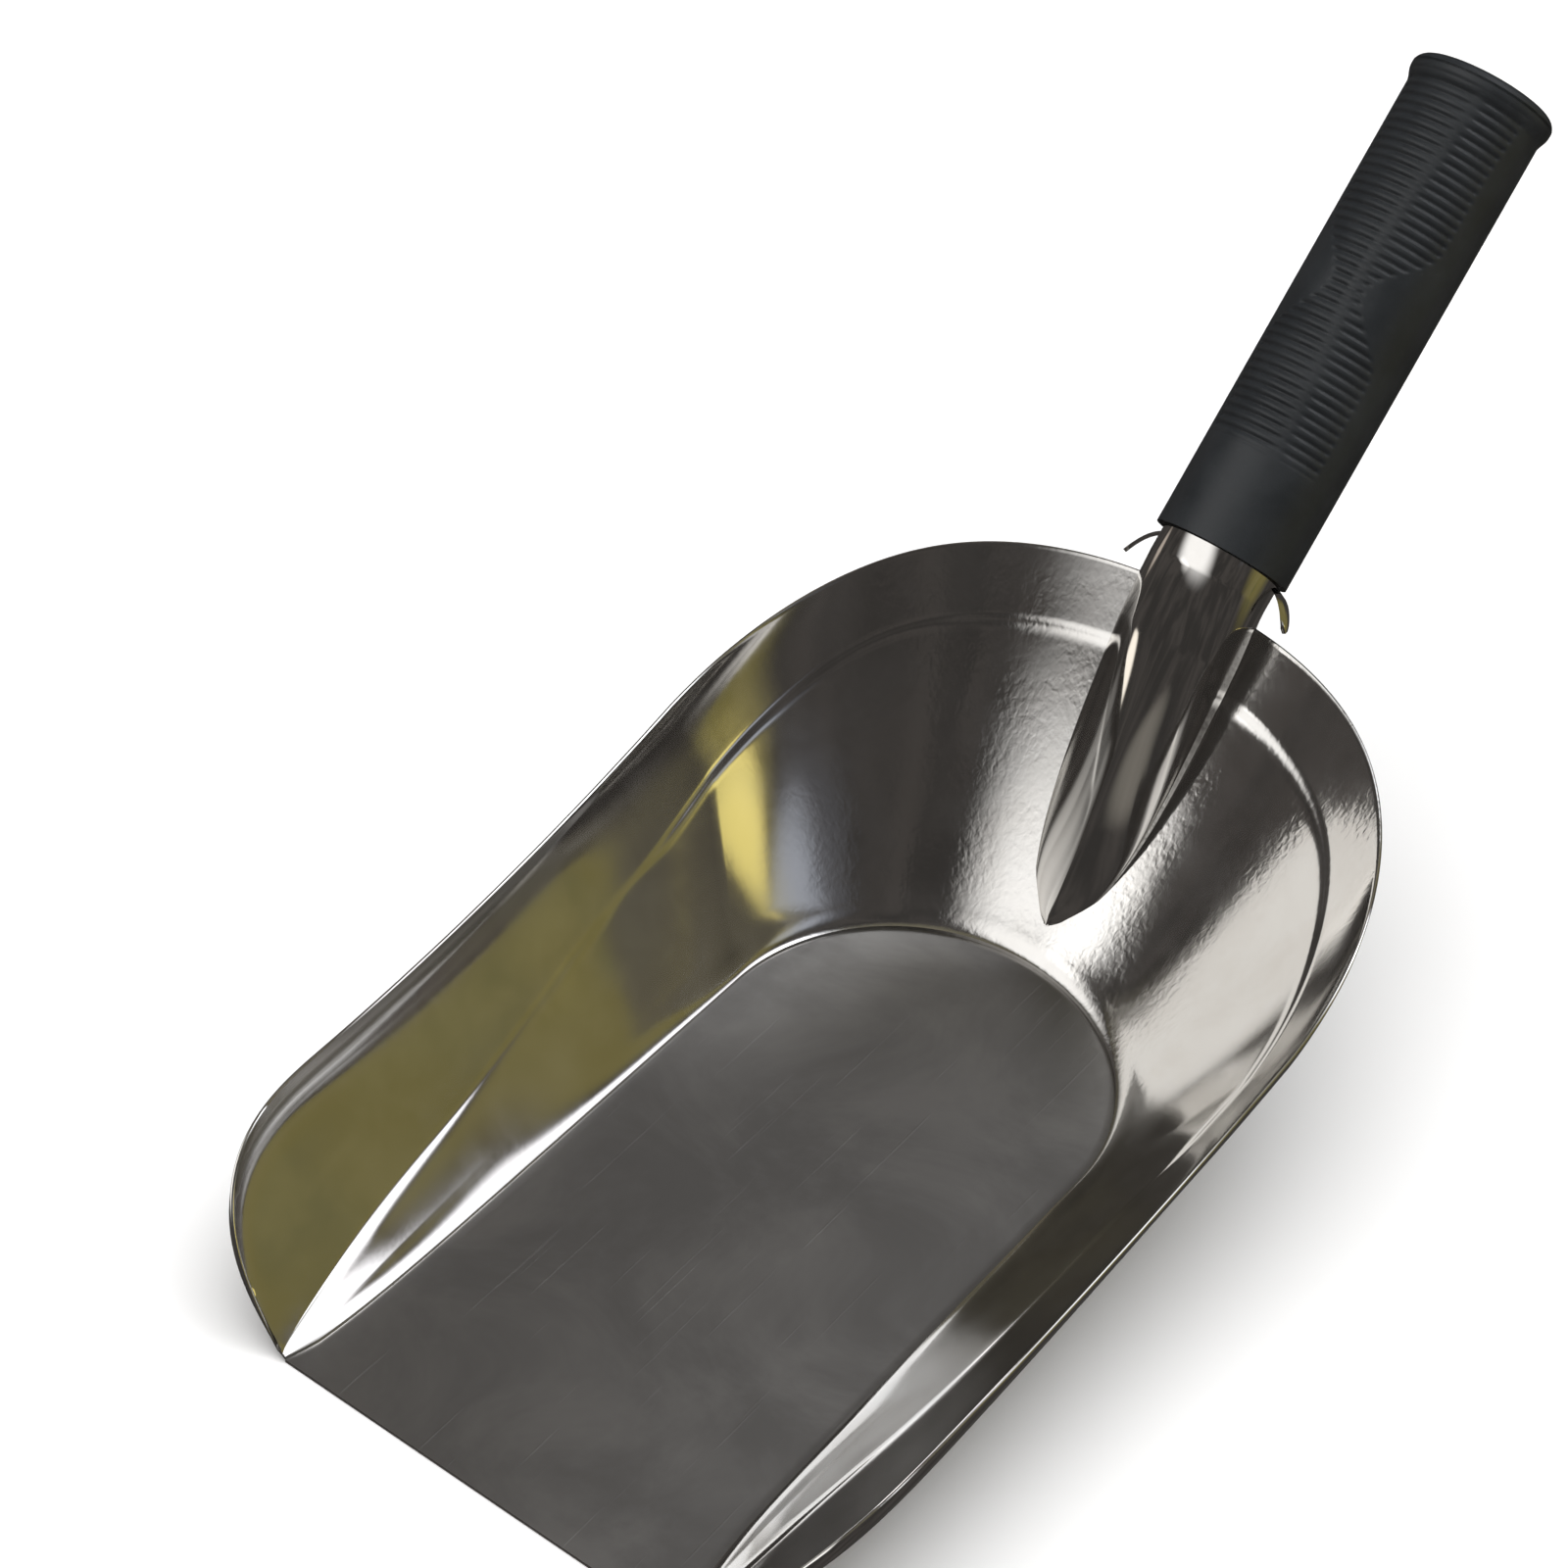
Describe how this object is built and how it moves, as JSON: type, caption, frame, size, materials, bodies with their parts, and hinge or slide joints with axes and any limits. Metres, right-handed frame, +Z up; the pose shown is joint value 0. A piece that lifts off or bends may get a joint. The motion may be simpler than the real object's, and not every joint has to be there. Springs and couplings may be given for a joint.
{
  "type": "grain scoop shovel",
  "caption": "Hand scoop for grain and feed: pressed steel pan with flared side wings and a high back, steel tube socket set into the back wall, and a ribbed rubber grip.",
  "frame": {"origin": "middle of the whole tool's footprint, on the surface that the pan's floor rests on", "axes": "+Z up; +Y from the front lip towards the handle; +X across the pan; the tool is symmetric about X = 0"},
  "size_m": [0.171, 0.3662, 0.1858],
  "materials": {
    "pan_steel": "satin floor, polished walls",
    "socket_steel": "mirror polished",
    "weld_steel": "ground and polished",
    "grip_rubber": "matte, finely ribbed"
  },
  "bodies": {
    "root": {"scoop_pan": "pan_steel", "handle_socket": "socket_steel", "flank_welds": "weld_steel", "seam_weld": "weld_steel", "rubber_grip": "grip_rubber"}
  },
  "joints": []
}
